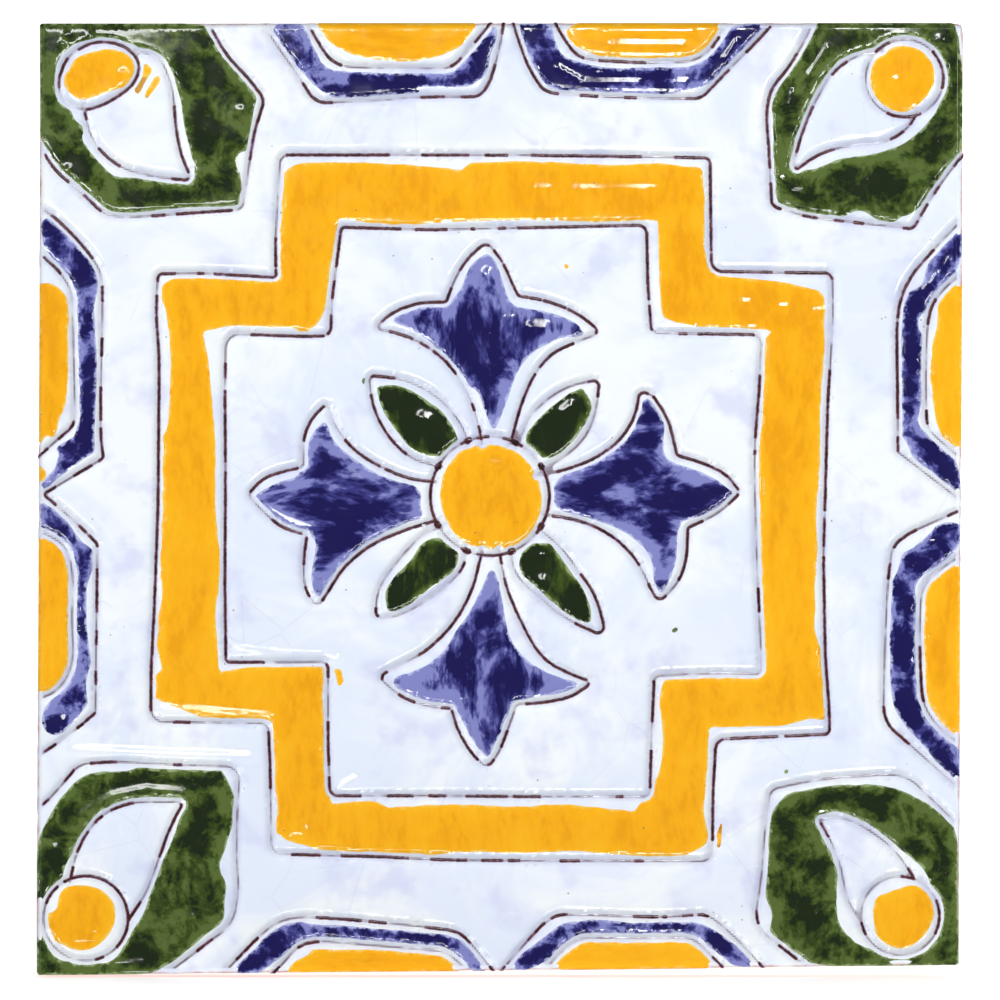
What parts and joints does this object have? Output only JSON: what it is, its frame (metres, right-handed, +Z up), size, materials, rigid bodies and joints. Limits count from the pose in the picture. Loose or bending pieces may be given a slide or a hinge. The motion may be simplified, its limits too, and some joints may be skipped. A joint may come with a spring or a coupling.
{
  "type": "relief wall tile",
  "caption": "Square glazed earthenware relief tile with raised lines, a yellow stepped cross, a blue and green flower and corner drops, set on a wall by its back.",
  "frame": {"origin": "middle of the back face, which lies against the wall", "axes": "+Z up the wall, +X to the viewer's right, -Y out of the glazed face towards the viewer, +Y into the wall"},
  "size_m": [0.1054, 0.0076, 0.1083],
  "materials": {
    "fired_clay": "matt, porous, low-fired red earthenware",
    "white_glaze": "glossy tin glaze, slightly wavy, pooled against the raised lines",
    "yellow_glaze": "glossy, brushed, darker where it lies thick",
    "blue_glaze": "glossy cobalt, streaky, thin at the brush's edges",
    "green_glaze": "glossy copper green, streaky, thin at the brush's edges",
    "manganese_line": "dark brown line, satin, broken on the crests"
  },
  "bodies": {
    "root": {"bracket_bottom_left": "blue_glaze", "bracket_bottom_right": "blue_glaze", "bracket_left_lower": "blue_glaze", "bracket_left_upper": "blue_glaze", "bracket_right_lower": "blue_glaze", "bracket_right_upper": "blue_glaze", "bracket_top_left": "blue_glaze", "bracket_top_right": "blue_glaze", "centre_disc": "yellow_glaze", "clay_body": "fired_clay", "corner_disc_ne": "yellow_glaze", "corner_disc_nw": "yellow_glaze", "corner_disc_se": "yellow_glaze", "corner_disc_sw": "yellow_glaze", "corner_ring_ne": "green_glaze", "corner_ring_nw": "green_glaze", "corner_ring_se": "green_glaze", "corner_ring_sw": "green_glaze", "dabs_green": "green_glaze", "dabs_yellow": "yellow_glaze", "leaf_ne": "green_glaze", "leaf_nw": "green_glaze", "leaf_se": "green_glaze", "leaf_sw": "green_glaze", "line_band_inner": "manganese_line", "line_band_outer": "manganese_line", "line_corner_ne": "manganese_line", "line_corner_nw": "manganese_line", "line_corner_se": "manganese_line", "line_corner_sw": "manganese_line", "line_disc": "manganese_line", "line_edge_bottom": "manganese_line", "line_edge_left": "manganese_line", "line_edge_right": "manganese_line", "line_edge_top": "manganese_line", "line_leaf_ne": "manganese_line", "line_leaf_nw": "manganese_line", "line_leaf_se": "manganese_line", "line_leaf_sw": "manganese_line", "line_petal_bottom": "manganese_line", "line_petal_left": "manganese_line", "line_petal_right": "manganese_line", "line_petal_top": "manganese_line", "panel_bottom_left": "yellow_glaze", "panel_bottom_right": "yellow_glaze", "panel_left_lower": "yellow_glaze", "panel_left_upper": "yellow_glaze", "panel_right_lower": "yellow_glaze", "panel_right_upper": "yellow_glaze", "panel_top_left": "yellow_glaze", "panel_top_right": "yellow_glaze", "petal_bottom": "blue_glaze", "petal_left": "blue_glaze", "petal_right": "blue_glaze", "petal_top": "blue_glaze", "white_glaze": "white_glaze", "yellow_band": "yellow_glaze"}
  },
  "joints": []
}
